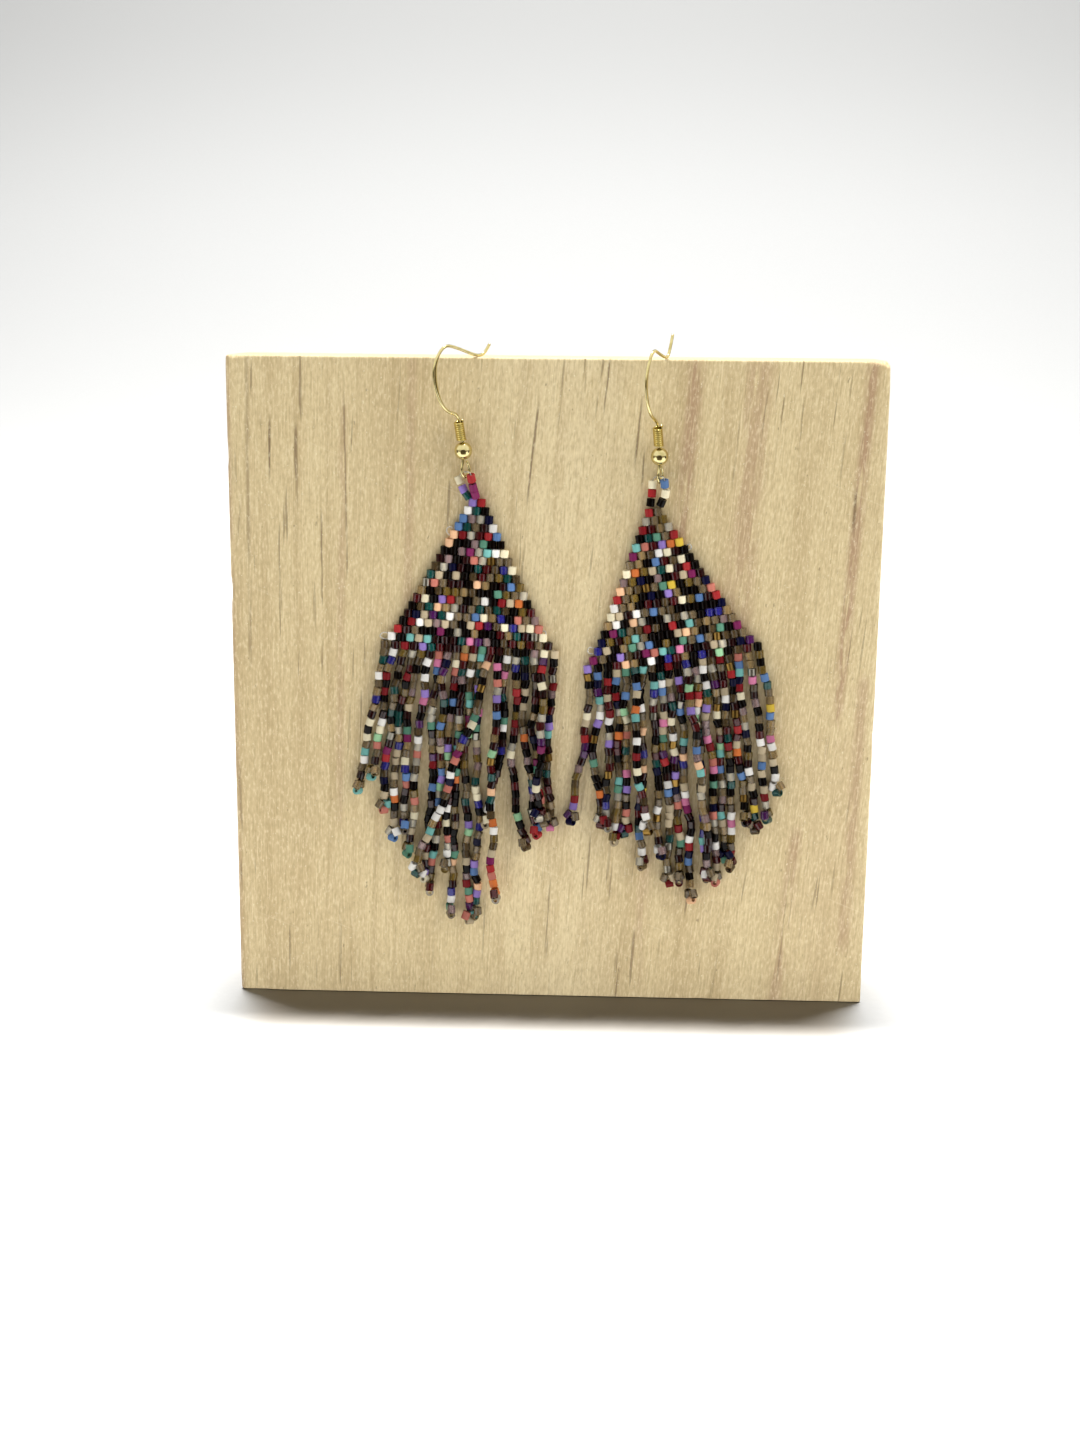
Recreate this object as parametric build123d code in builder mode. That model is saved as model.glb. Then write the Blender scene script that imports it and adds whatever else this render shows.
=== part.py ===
# A pair of beaded fringe earrings hung by their wires over the top edge of a pine block.
# Millimetres, Z up, front face toward -Y. The origin is the centre of the block's resting face.
import math
import os

from build123d import *

os.makedirs("parts", exist_ok=True)

# Display block: a short length of planed board, stood on end grain.
block_width = 114.3
block_depth = 19.0
block_height = 115.6
block_edge_break = 0.35

# Cylinder seed beads.
bead_dia = 1.46
bead_column_pitch = 1.50
bead_row_pitch = 1.44
strand_tube_dia = 1.30
thread_dia = 0.30

# Three-bead picot at the foot of each strand.
picot_width = 2.40
picot_height = 2.10
picot_corner = 0.60
picot_thickness = 1.16

# Woven triangle: one row per count of beads, from the wide base row up to the narrow top row.
base_beads = 20
top_beads = 2
weave_thickness = 1.36

# Clearances.
face_gap = 0.10
seat_gap = 0.05
bore_gap = 0.20

# Where things lie in front of the block's face.
bead_layer_depth = face_gap + bead_dia / 2
layer_step = 1.52
ball_standoff = 1.70

# Ear hook: ball, fine coil and formed wire.
hook_wire_dia = 0.50
ball_dia = 3.00
coil_outer_dia = 1.80
coil_inner_dia = 1.00
coil_length = 3.60
coil_lift = 0.12

# Shares of a strand's drop at which its course may turn.
high_share = 0.30
low_share = 0.65

# How bends are rounded: the share of the shorter run beside a bend that its arc may take, and
# the widest arc for a bend that hardly turns.
bend_share = 0.45
widest_bend = 90.0

front_y = -block_depth / 2
weave_rows = base_beads - top_beads + 1

# Each earring hangs from the block's top edge: how far its ball lies below that edge, where the
# middle of its base row lies from the ball, the tilt of that row and the hook's turn in plan.
left_ball_x = -15.84
left_ball_drop = 15.87
left_base_shift = 1.09
left_base_drop = 34.83
left_tilt_deg = -2.8
left_hook_turn_deg = 45.0

right_ball_x = 18.00
right_ball_drop = 16.42
right_base_shift = 3.10
right_base_drop = 35.28
right_tilt_deg = 8.7
right_hook_turn_deg = 65.0

# Rise of the wire's middle above the ball where the tail lies on the block.
wire_seat = hook_wire_dia / 2 + seat_gap
left_seat_rise = left_ball_drop + wire_seat
right_seat_rise = right_ball_drop + wire_seat

# Strands, left to right under the base row. Columns: drop of the tip below the base bead,
# sideways sway at the high share, at the low share and at the tip, and the layer it hangs in.
left_strands = [
    # drop, high, low, tip, layer
    (26.8, -1.9, -4.2, -5.5, 0),
    (24.0, -2.3, -3.6, -4.8, 0),
    (30.3, -2.4, -3.5, -4.4, 0),
    (35.2, -2.4, -3.7, -4.4, 0),
    (33.7, -2.3, -3.4, -3.6, 0),
    (38.0, -2.3, -2.6, -3.6, 0),
    (42.6, -1.7, -1.3, -3.5, 0),
    (45.0, -1.6, -1.2, -3.4, 0),
    (40.5, -1.5, -1.7, -1.6, 0),
    (49.1, -1.5, -1.7, -2.3, 0),
    (50.2, -1.4, -1.6, -0.5, 0),
    (49.3, -1.3, -0.6, -0.7, 0),
    (40.7, -2.9, -8.4, -13.6, 1),
    (45.2, -1.1, -0.5, -1.1, 1),
    (31.6, -0.5, -0.9, -4.1, 0),
    (35.7, -0.2, -0.5, 1.6, 0),
    (33.4, -0.1, 0.5, 2.3, 0),
    (31.0, 0.3, 0.6, 2.0, 0),
    (29.8, -0.2, 0.1, -0.2, 1),
    (31.8, -0.1, -0.5, 0.6, 0),
]
right_strands = [
    # drop, high, low, tip, layer
    (28.1, -0.6, -1.9, -3.4, 0),
    (28.8, -0.5, -0.7, 0.1, 0),
    (29.5, 0.0, 0.3, 0.2, 0),
    (32.4, 0.1, 0.5, 0.3, 0),
    (31.3, 0.2, 0.6, 0.4, 0),
    (30.4, 0.2, 1.2, 2.7, 1),
    (37.5, 0.4, -0.1, 0.6, 0),
    (35.7, 0.7, 1.6, 2.6, 0),
    (41.2, 1.0, 2.2, 2.9, 0),
    (40.9, 1.1, 2.3, 3.1, 0),
    (44.4, 1.5, 3.2, 3.5, 0),
    (40.3, 1.6, 3.8, 4.9, 1),
    (40.9, 1.6, 2.2, 3.0, 0),
    (41.9, 1.7, 2.9, 3.4, 0),
    (38.0, 1.7, 2.9, 3.6, 0),
    (39.7, 1.7, 3.0, 3.7, 0),
    (31.1, 1.5, 2.8, 3.9, 0),
    (33.1, 1.6, 3.1, 4.4, 0),
    (31.2, 2.4, 3.7, 5.1, 0),
    (26.4, 3.0, 4.3, 5.2, 0),
]

# Hook wires, in the hook's own upright plane. Columns: reach away from the ear, rise above the
# ball's centre. The run from the eye's cut end, round the eye and up the stem is common to both.
eye_and_stem = [
    # reach, rise
    (0.62, -1.80),
    (1.25, -3.20),
    (0.45, -4.85),
    (-0.50, -3.50),
    (0.00, -1.90),
    (0.00, 1.75),
]
stem_row = len(eye_and_stem) - 1
left_hook_wire = eye_and_stem + [
    (-0.80, 5.40),
    (-1.90, 6.45),
    (-3.40, 6.60),
    (-5.20, 8.30),
    (-6.45, 11.90),
    (-6.30, 15.20),
    (-4.30, 17.95),
    (-1.60, 17.50),
    (2.60, left_seat_rise),
    (4.10, left_seat_rise),
    (6.00, 18.10),
]
right_hook_wire = eye_and_stem + [
    (-0.90, 5.40),
    (-2.10, 6.25),
    (-4.40, 7.20),
    (-5.90, 9.60),
    (-6.45, 12.40),
    (-5.80, 15.50),
    (-3.60, 18.15),
    (-1.20, 17.35),
    (1.20, right_seat_rise),
    (2.50, right_seat_rise),
    (3.40, 18.00),
    (4.50, 20.60),
]

# Bead strings of the hanging loop and the thread through the eye. Columns: sideways from the
# ball's centre, up from it, and depth in front of the block's face.
left_loop_near = [(1.42, -8.98, 0.83), (0.39, -7.23, 0.84), (-0.76, -4.38, 0.80)]
left_loop_far = [(2.89, -9.03, 0.83), (1.89, -6.83, 1.50), (1.39, -4.03, 2.40)]
left_loop_thread = [(-0.71, -4.63, 0.80), (-0.36, -3.78, 1.10), (0.94, -3.53, 2.05), (1.39, -4.28, 2.40)]
right_loop_near = [(-1.58, -9.78, 0.83), (-1.40, -7.78, 0.82), (-1.10, -4.23, 0.80)]
right_loop_far = [(-0.08, -9.58, 0.83), (1.00, -6.98, 1.60), (0.95, -3.93, 2.35)]
right_loop_thread = [(-1.10, -4.48, 0.80), (-0.80, -3.53, 1.02), (0.55, -3.28, 1.95), (0.93, -4.18, 2.35)]


def bend_radii(points):
    """Bend radius at each inner point: as wide as the shorter run beside it allows."""
    radii = []
    for before, here, after in zip(points, points[1:], points[2:]):
        run_in = Vector(*here) - Vector(*before)
        run_out = Vector(*after) - Vector(*here)
        half_turn = math.radians(run_in.get_angle(run_out)) / 2
        radius = bend_share * min(run_in.length, run_out.length) / math.tan(half_turn)
        radii.append(min(radius, widest_bend))
    return radii


def below_ball(ball, rows):
    """Turn rows measured from the ball and the block's face into points of the model."""
    return [(ball.X + across, front_y - depth, ball.Z + up) for across, up, depth in rows]


def strand_course(base, drop, high, low, tip, layer):
    """Course of one hanging strand from the middle of its base bead down to its tip."""
    hang_y = base.Y - layer * layer_step
    return [
        (base.X, base.Y, base.Z),
        (base.X + high, hang_y, base.Z - high_share * drop),
        (base.X + low, hang_y, base.Z - low_share * drop),
        (base.X + tip, hang_y, base.Z - drop),
    ]


def add_tube(points, dia):
    """Add one bent tube of the given diameter to the open part."""
    with BuildLine() as course:
        FilletPolyline(*points, radius=bend_radii(points))
    with BuildSketch(Plane(origin=course.line @ 0, z_dir=course.line % 0)) as section:
        Circle(dia / 2)
    sweep(sections=section.sketch, path=course.wire())


def add_picot(course):
    """Add the picot at the foot of a strand, in line with the strand's last run."""
    knee = Vector(*course[-2])
    tip = Vector(*course[-1])
    along = (knee - tip).normalized()
    across = Vector(along.Z, 0, -along.X)
    middle = tip + along * (picot_height / 2 - picot_corner / 2)
    with BuildSketch(Plane(origin=middle, x_dir=across, z_dir=(0, -1, 0))) as outline:
        RectangleRounded(picot_width, picot_height, picot_corner)
    extrude(outline.sketch, amount=picot_thickness / 2, both=True)


def weave_plane(ball, base_shift, base_drop, tilt_deg):
    """Plane of the woven triangle: x along the base row, y up the rows."""
    tilt = math.radians(tilt_deg)
    return Plane(
        origin=(ball.X + base_shift, front_y - bead_layer_depth, ball.Z - base_drop),
        x_dir=(math.cos(tilt), 0, math.sin(tilt)),
        z_dir=(0, -1, 0),
    )


def hook_plane(ball_x, ball_drop, turn_deg):
    """Upright plane of one hook: x away from the ear, y up, origin at the ball's centre."""
    turn = math.radians(turn_deg)
    return Plane(
        origin=(ball_x, front_y - ball_standoff, block_height - ball_drop),
        x_dir=(math.cos(turn), math.sin(turn), 0),
        z_dir=(math.sin(turn), -math.cos(turn), 0),
    )


def beadwork(weave, strands, loop_near, loop_far, loop_thread):
    """Woven triangle, its strands and its hanging loop, fused into one piece."""
    with BuildPart() as piece:
        with BuildSketch(weave):
            for row in range(weave_rows):
                with Locations((0, row * bead_row_pitch)):
                    Rectangle((base_beads - row) * bead_column_pitch, bead_row_pitch)
        extrude(amount=weave_thickness / 2, both=True)
        for place, strand in enumerate(strands):
            offset = (place - (base_beads - 1) / 2) * bead_column_pitch
            course = strand_course(weave.from_local_coords(Vector(offset, 0, 0)), *strand)
            add_tube(course, strand_tube_dia)
            add_picot(course)
        add_tube(loop_near, strand_tube_dia)
        add_tube(loop_far, strand_tube_dia)
        add_tube(loop_thread, thread_dia)
    return piece


def ear_hook(plane, wire_points):
    """One formed wire: eye, stem, shoulder, front bow, arch and tail."""
    with BuildPart() as piece:
        with BuildLine(plane) as course:
            FilletPolyline(*wire_points, radius=bend_radii(wire_points))
        with BuildSketch(Plane(origin=course.line @ 0, z_dir=course.line % 0)) as section:
            Circle(hook_wire_dia / 2)
        sweep(sections=section.sketch, path=course.wire())
    return piece


def hook_ball(plane):
    """Round ball drilled through for the stem."""
    with BuildPart(plane) as piece:
        Sphere(ball_dia / 2)
        with BuildSketch(Plane(origin=plane.origin, z_dir=plane.y_dir)):
            Circle(hook_wire_dia / 2 + bore_gap)
        extrude(amount=ball_dia, both=True, mode=Mode.SUBTRACT)
    return piece


def hook_coil(plane, stem_rows):
    """Sleeve round the leaning stem just above the ball, in place of the fine coil."""
    foot = plane.from_local_coords(Vector(*stem_rows[0]))
    head = plane.from_local_coords(Vector(*stem_rows[1]))
    along = (head - foot).normalized()
    with BuildPart() as piece:
        with BuildSketch(Plane(origin=foot + along * coil_lift, z_dir=along)):
            Circle(coil_outer_dia / 2)
            Circle(coil_inner_dia / 2, mode=Mode.SUBTRACT)
        extrude(amount=coil_length)
    return piece


# Block
with BuildPart() as display_block:
    with BuildSketch():
        Rectangle(block_width, block_depth)
    extrude(amount=block_height)
    chamfer(display_block.edges(), length=block_edge_break)
display_block.part.label = "display_block"
export_step(display_block.part, "parts/display_block.step")

# Left earring
left_plane = hook_plane(left_ball_x, left_ball_drop, left_hook_turn_deg)
left_ball = left_plane.origin
left_weave = weave_plane(left_ball, left_base_shift, left_base_drop, left_tilt_deg)

left_beadwork = beadwork(
    left_weave,
    left_strands,
    below_ball(left_ball, left_loop_near),
    below_ball(left_ball, left_loop_far),
    below_ball(left_ball, left_loop_thread),
)
left_beadwork.part.label = "left_beaded_fringe"
export_step(left_beadwork.part, "parts/left_beaded_fringe.step")

left_ear_hook = ear_hook(left_plane, left_hook_wire)
left_ear_hook.part.label = "left_ear_hook"
export_step(left_ear_hook.part, "parts/left_ear_hook.step")

left_hook_ball = hook_ball(left_plane)
left_hook_ball.part.label = "left_hook_ball"
export_step(left_hook_ball.part, "parts/left_hook_ball.step")

left_hook_coil = hook_coil(left_plane, left_hook_wire[stem_row:])
left_hook_coil.part.label = "left_hook_coil"
export_step(left_hook_coil.part, "parts/left_hook_coil.step")

# Right earring
right_plane = hook_plane(right_ball_x, right_ball_drop, right_hook_turn_deg)
right_ball = right_plane.origin
right_weave = weave_plane(right_ball, right_base_shift, right_base_drop, right_tilt_deg)

right_beadwork = beadwork(
    right_weave,
    right_strands,
    below_ball(right_ball, right_loop_near),
    below_ball(right_ball, right_loop_far),
    below_ball(right_ball, right_loop_thread),
)
right_beadwork.part.label = "right_beaded_fringe"
export_step(right_beadwork.part, "parts/right_beaded_fringe.step")

right_ear_hook = ear_hook(right_plane, right_hook_wire)
right_ear_hook.part.label = "right_ear_hook"
export_step(right_ear_hook.part, "parts/right_ear_hook.step")

right_hook_ball = hook_ball(right_plane)
right_hook_ball.part.label = "right_hook_ball"
export_step(right_hook_ball.part, "parts/right_hook_ball.step")

right_hook_coil = hook_coil(right_plane, right_hook_wire[stem_row:])
right_hook_coil.part.label = "right_hook_coil"
export_step(right_hook_coil.part, "parts/right_hook_coil.step")
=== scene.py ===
import math

import bpy
from mathutils import Matrix, Vector, noise


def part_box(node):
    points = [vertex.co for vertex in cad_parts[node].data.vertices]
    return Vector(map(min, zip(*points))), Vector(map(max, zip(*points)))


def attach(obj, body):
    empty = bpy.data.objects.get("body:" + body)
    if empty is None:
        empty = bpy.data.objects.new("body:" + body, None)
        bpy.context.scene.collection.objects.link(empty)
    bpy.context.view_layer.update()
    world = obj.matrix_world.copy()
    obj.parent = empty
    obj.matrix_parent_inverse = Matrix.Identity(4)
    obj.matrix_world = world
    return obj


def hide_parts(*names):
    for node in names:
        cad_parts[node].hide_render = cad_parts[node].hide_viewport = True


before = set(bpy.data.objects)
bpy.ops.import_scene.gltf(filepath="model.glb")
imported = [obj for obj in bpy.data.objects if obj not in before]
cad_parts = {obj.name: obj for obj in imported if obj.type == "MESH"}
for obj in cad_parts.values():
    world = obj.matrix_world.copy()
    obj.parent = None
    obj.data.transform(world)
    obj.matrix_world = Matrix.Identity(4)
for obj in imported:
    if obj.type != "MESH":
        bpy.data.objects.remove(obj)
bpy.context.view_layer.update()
mm = 0.001


# Display block
# A short length of planed pine board stood on its end grain, with the grain upright. It is bare
# wood, crosscut at both ends, and its arrises are only broken by handling.
def node(kind, inputs=None, **settings):
    """Add one node to the open tree, set what is named, and link or fill its inputs."""
    made = tree.nodes.new(kind)
    for setting, value in settings.items():
        setattr(made, setting, value)
    for socket, value in (inputs or {}).items():
        if isinstance(value, bpy.types.NodeSocket):
            tree.links.new(value, made.inputs[socket])
        else:
            made.inputs[socket].default_value = value
    return made


def out_of(kind, inputs=None, **settings):
    """Add one node to the open tree and give back its first output."""
    return node(kind, inputs, **settings).outputs[0]


def new_material(name, plain=None):
    """A material whose Principled BSDF has its plain values set, with its tree and shader."""
    made = bpy.data.materials.new(name)
    made.use_nodes = True
    shader = made.node_tree.nodes["Principled BSDF"]
    for socket, value in (plain or {}).items():
        shader.inputs[socket].default_value = value
    return made, made.node_tree, shader


def feed(shader, given):
    """Link each named socket of a shader to what is given for it."""
    for socket, value in given.items():
        tree.links.new(value, shader.inputs[socket])


def put(name, data):
    """Put an object in the scene, at the origin and unturned."""
    made = bpy.data.objects.new(name, data)
    bpy.context.scene.collection.objects.link(made)
    return made


def new_mesh(name, places, faces):
    """A mesh from the places of its corners and the rings of its faces."""
    mesh = bpy.data.meshes.new(name)
    mesh.from_pydata(places, [], faces)
    return mesh


def add_piece(mesh, material=None, crisp=None):
    """Put a finished mesh in the scene under its name, smooth but for edges over the crisp angle."""
    if material:
        mesh.materials.clear()
        mesh.materials.append(material)
    mesh.shade_smooth()
    if crisp:
        mesh.set_sharp_from_angle(angle=math.radians(crisp))
    return put(mesh.name, mesh)


block_low, block_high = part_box("display_block")
block_middle = (block_low + block_high) / 2
block_half = (block_high - block_low) / 2
front_y = block_low.y
arris_radius = 0.45 * mm
corner_wear = 0.55 * mm
wear_spacing = 5 * mm
wear_from, wear_force, most_wear = 0.30, 12, 2.0
knock_reach = 4 * mm
crisp_foot, foot_share = 5 * mm, 0.4
block_cell = 1.6 * mm
knocked_corners = [
    # corner, force
    (Vector((-block_half.x, -block_half.y, -block_half.z)), 2.4),
    (Vector((block_half.x, -block_half.y, block_half.z)), 2.2),
]


def side_marks(half):
    """Places across one side of the block: close at the arrises and even between them."""
    zone = arris_radius + 2 * corner_wear
    inner = half - zone
    count = max(2, round(2 * inner / block_cell))
    edge = [half - zone * share for share in (0.0, 0.12, 0.28, 0.5, 0.75)]
    even = [inner * (2 * i / count - 1) for i in range(count + 1)]
    return sorted([-place for place in edge] + edge + even)


def worn(point):
    """Round a point of the block's skin where it lies near an arris, more where it was knocked."""
    knock = max(0.0, noise.noise(point / wear_spacing) - wear_from) ** 2 * wear_force
    for corner, force in knocked_corners:
        knock += force * max(0.0, 1 - (point - corner).length / knock_reach)
    above_foot = min(1.0, (point.z + block_half.z) / crisp_foot)
    radius = arris_radius + corner_wear * min(most_wear, knock)
    radius *= foot_share + (1 - foot_share) * above_foot
    inner = Vector([max(-(h - radius), min(h - radius, p)) for p, h in zip(point, block_half)])
    return inner + (point - inner).normalized() * radius + block_middle


def block_mesh():
    """Six gridded faces, joined along the arrises."""
    marks = [side_marks(half) for half in block_half]
    places, faces, known = [], [], {}

    def place(key):
        if key not in known:
            known[key] = len(places)
            places.append(worn(Vector([marks[axis][step] for axis, step in enumerate(key)])))
        return known[key]

    for axis in range(3):
        across, along = (axis + 1) % 3, (axis + 2) % 3
        for end in (0, len(marks[axis]) - 1):
            for i in range(len(marks[across]) - 1):
                for j in range(len(marks[along]) - 1):
                    ring = []
                    for di, dj in ((0, 0), (1, 0), (1, 1), (0, 1)):
                        key = [0, 0, 0]
                        key[axis], key[across], key[along] = end, i + di, j + dj
                        ring.append(place(tuple(key)))
                    faces.append(ring if end else ring[::-1])
    return new_mesh("pine_block", places, faces)


def figure(how, first, second=0.0, third=None):
    """One sum in the open tree."""
    parts = {0: first, 1: second} if third is None else {0: first, 1: second, 2: third}
    return out_of("ShaderNodeMath", parts, operation=how)


def product(whole, *parts):
    """All the parts multiplied together."""
    for part in parts:
        whole = figure("MULTIPLY", whole, part)
    return whole


def vector(x=0.0, y=0.0, z=0.0):
    """One place or direction from its three parts."""
    return out_of("ShaderNodeCombineXYZ", {0: x, 1: y, 2: z})


def split(place):
    """The three parts of a place or direction."""
    return node("ShaderNodeSeparateXYZ", {0: place}).outputs


def own_spot():
    """Where the shaded point lies on its own piece."""
    return node("ShaderNodeTexCoord").outputs["Object"]


def graded(value, low, high, start, end, smooth="LINEAR"):
    """Go from start to end as value goes from low to high."""
    return out_of("ShaderNodeMapRange", {
        "Value": value, "From Min": low, "From Max": high, "To Min": start, "To Max": end,
    }, interpolation_type=smooth)


def band(value, low, high, top=1.0):
    """Rise softly from 0 to top as value goes from low to high."""
    return graded(value, low, high, 0.0, top, "SMOOTHSTEP")


def tint(under, over, amount):
    """Lay one colour over another by amount."""
    return node("ShaderNodeMix", {0: amount, 6: under, 7: over}, data_type="RGBA").outputs[2]


def speckle(spot, scale, detail=2.0, rough=0.5):
    """Noise with so many marks a metre."""
    return node("ShaderNodeTexNoise", {
        "Vector": spot, "Scale": scale, "Detail": detail, "Roughness": rough,
    }).outputs["Fac"]


def grain(place, marks, detail=2.0, rough=0.5):
    """Noise drawn out along the grain, with so many marks a metre across, through and along."""
    drawn_out = out_of("ShaderNodeVectorMath", {0: place, 1: marks}, operation="MULTIPLY")
    return speckle(drawn_out, 1.0, detail, rough)


def bumped(height, strength, distance):
    """The skin's direction, roughened by height."""
    return out_of("ShaderNodeBump", {"Height": height, "Strength": strength, "Distance": distance})


ring_pitch = 3.6 * mm
pith = (62 * mm, 95 * mm)
lean_height = 60 * mm
pine, tree, shader = new_material("planed_pine")
spot = own_spot()
raw_across, through, along = split(spot)
lean = graded(raw_across, -60 * mm, 20 * mm, 0.005, 0.085)
across = figure("SUBTRACT", raw_across, product(lean, figure("SUBTRACT", along, lean_height)))
straight = vector(across, through, along)

wander = grain(straight, (55, 55, 7))
from_pith = [
    figure("POWER", figure("SUBTRACT", part, centre), 2.0)
    for part, centre in zip((across, through), pith)
]
reach = figure("SQRT", figure("ADD", *from_pith))
ring = figure("FRACT", figure("MULTIPLY_ADD", reach, 1 / ring_pitch, product(wander, 2.2)))
late_wood = product(
    band(ring, 0.60, 0.93), figure("SUBTRACT", 1.0, band(ring, 0.93, 1.0)),
    band(grain(straight, (160, 160, 20)), 0.36, 0.64))
resin_line = product(
    band(grain(straight, (1400, 1400, 60), 2.0, 0.4), 0.660, 0.73),
    band(grain(straight, (90, 90, 30)), 0.42, 0.6))
dot = band(grain(straight, (1500, 1500, 620)), 0.715, 0.78)
fibre = grain(straight, (4300, 4300, 150))
mottle = grain(straight, (2500, 2500, 900), 3.0, 0.6)
cloud = grain(straight, (95, 95, 12))
speck = band(grain(straight, (2600, 2600, 1700), 2.0, 0.7), 0.66, 0.76)
slanting = out_of("ShaderNodeVectorRotate", {
    "Vector": spot, "Angle": math.radians(68),
}, rotation_type="Y_AXIS")
scratch = band(grain(slanting, (1100, 1100, 30)), 0.70, 0.78)

pale_wood, tan_wood = (0.705, 0.563, 0.312, 1), (0.500, 0.365, 0.180, 1)
dark_fibre = (0.400, 0.285, 0.135, 1)
colour = tint(pale_wood, tan_wood, band(cloud, 0.38, 0.72, 0.50))
colour = tint(colour, tan_wood, product(late_wood, 0.55))
strokes = [
    # across and up at the foot, across and up at the head, half width, in mm, strength, shade
    # The first two strokes are not grain: a wide pool of painted light down the middle of the face, and a
    # wide painted shade over its lower right.
    (1.0, -3, 3.0, 119, 24.0, 0.26, "painted_light"), (49.0, -3, 50.0, 52, 12.0, 0.16, "pink"),
    (20.6, 66, 24.3, 117, 2.8, 0.85, "pink"), (31.6, 60, 35.2, 117, 4.8, 0.68, "pink"),
    (50.3, 50, 54.3, 117, 2.1, 0.95, "pink"), (53.4, 8, 55.0, 62, 2.2, 0.65, "pink"),
    (-26.0, 70, -24.6, 117, 1.8, 0.45, "pink"), (-38.5, 30, -36.6, 112, 1.4, 0.45, "pink"),
    (41.0, -3, 44.5, 34, 2.4, 0.70, "pink"), (15.4, 0, 17.6, 30, 2.2, 0.45, "pink"),
    (-54.0, 60, -53.4, 117, 0.7, 0.50, "dark"), (-49.9, 93, -49.6, 106, 0.45, 0.95, "dark"),
    (-45.3, 88, -45.0, 105, 0.60, 0.90, "dark"), (-41.2, 58, -40.8, 90, 0.40, 0.80, "dark"),
    (-36.4, 76, -36.7, 113, 0.35, 0.75, "dark"), (-34.0, 90, -33.6, 99, 0.40, 0.80, "dark"),
    (-5.0, 89, -2.8, 109, 0.42, 0.90, "dark"), (-7.0, 62, -5.2, 84, 0.35, 0.60, "dark"),
    (0.2, 102, 1.6, 117, 0.40, 0.65, "dark"), (8.1, 105, 9.4, 117, 0.42, 0.85, "dark"),
    (13.7, 96, 14.9, 110, 0.42, 0.85, "dark"), (15.0, 92, 15.5, 101, 0.36, 0.80, "dark"),
    (51.9, 85, 52.2, 95, 0.50, 0.95, "dark"), (25.0, 20, 27.5, 46, 0.50, 0.55, "dark"),
    (-56.9, -3, -56.9, 119, 1.0, 0.60, "pink"), (-56.3, 28, -56.4, 44, 0.5, 0.60, "dark"),
    (41.6, 2, 43.4, 26, 0.34, 0.55, "dark"), (30.6, 92, 31.8, 108, 0.36, 0.50, "dark"),
]
# Colours of the strokes: the pale one serves only the pool of painted light; pink serves pinkish streaks and
# the painted shade at the lower right; dark serves dark streaks.
stroke_shade = {
    "painted_light": (0.920, 0.790, 0.500, 1), "pink": (0.450, 0.285, 0.165, 1), "dark": (0.215, 0.140, 0.070, 1),
}
edge_share, core_share = 0.75, 0.1
foot_fade, head_fade = 4, 3
on_front = band(through, 3 * mm - block_half.y, 1 * mm - block_half.y)
frayed = grain(straight, (900, 900, 90), 2.0, 0.6)
waver = figure("MULTIPLY_ADD", frayed, 0.6 * mm, -0.3 * mm)
for foot, low, head, top, half_width, strength, shade in strokes:
    slope = (head - foot) / (top - low)
    course = figure("MULTIPLY_ADD", along, slope, (foot - slope * low) * mm)
    off = figure("ABSOLUTE", figure("ADD", figure("SUBTRACT", raw_across, course), waver))
    core = product(
        band(off, edge_share * half_width * mm, core_share * half_width * mm, strength),
        band(along, low * mm, (low + foot_fade) * mm), band(along, top * mm, (top - head_fade) * mm),
        band(frayed, 0.30, 0.52), on_front)
    colour = tint(colour, stroke_shade[shade], core)
washes = [
    # colour, amount
    ((0.880, 0.740, 0.450, 1), band(fibre, 0.50, 0.74, 0.36)),
    (dark_fibre, band(fibre, 0.50, 0.26, 0.34)),
    ((0.930, 0.800, 0.520, 1), band(mottle, 0.50, 0.70, 0.42)),
    (dark_fibre, band(mottle, 0.50, 0.30, 0.34)),
    ((0.180, 0.115, 0.055, 1), product(resin_line, 0.55)),
    ((0.240, 0.155, 0.080, 1), product(dot, 0.55)),
    ((1.0, 0.930, 0.680, 1), product(speck, 0.60)),
    ((0.930, 0.820, 0.560, 1), product(scratch, 0.18)),
]
for shade, amount in washes:
    colour = tint(colour, shade, amount)
height = figure("ADD", fibre, figure("SUBTRACT", speck, product(resin_line, 1.2)))
feed(shader, {
    "Base Color": colour,
    "Normal": bumped(height, 0.6, 0.12 * mm),
    "Roughness": graded(fibre, 0.0, 1.0, 0.66, 0.50),
})

block = add_piece(block_mesh(), pine)
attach(block, "root")
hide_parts("display_block")


# Ear hooks
# One length of gold-plated wire for each earring, formed over pegs: an open eye, a straight stem,
# a shoulder, a bow hammered a little flat and a tail that lies over the block's top edge.
wire_radius = 0.27 * mm
wire_sides = 14
ball_standoff = 1.70 * mm
block_top = block_high.z
bow_low, bow_high, bow_reach = 8.0 * mm, 16.5 * mm, -3.5 * mm
bow_flatness, bow_thinning, bow_squareness = 0.50, 0.6, 0.55
seat = 0.30

hooks = {
    "left": {"x": -15.84 * mm, "drop": 15.87 * mm, "turn": math.radians(45)},
    "right": {"x": 18.00 * mm, "drop": 16.42 * mm, "turn": math.radians(65)},
}
eye_and_stem = [
    # reach from the ball's middle and rise above it, in mm
    (0.75, -1.80), (1.75, -3.20), (0.50, -4.88), (-0.55, -3.50), (0.00, -1.90), (0.00, 1.75),
]
hooks["left"]["wire"] = eye_and_stem + [
    (-0.80, 5.40), (-1.90, 6.45), (-3.40, 6.60), (-5.20, 8.30), (-6.45, 11.90), (-6.30, 15.20),
    (-4.30, 17.95), (-1.60, 17.50), (2.60, 15.87 + seat), (4.20, 15.87 + seat), (5.15, 16.90),
    (6.00, 18.10),
]
hooks["right"]["wire"] = eye_and_stem + [
    (-0.90, 5.40), (-2.10, 6.25), (-4.40, 7.20), (-5.90, 9.60), (-6.45, 12.40), (-5.80, 15.50),
    (-3.60, 18.15), (-1.20, 17.35), (1.20, 16.42 + seat), (2.50, 16.42 + seat), (3.40, 18.00),
    (4.50, 20.60),
]


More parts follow.
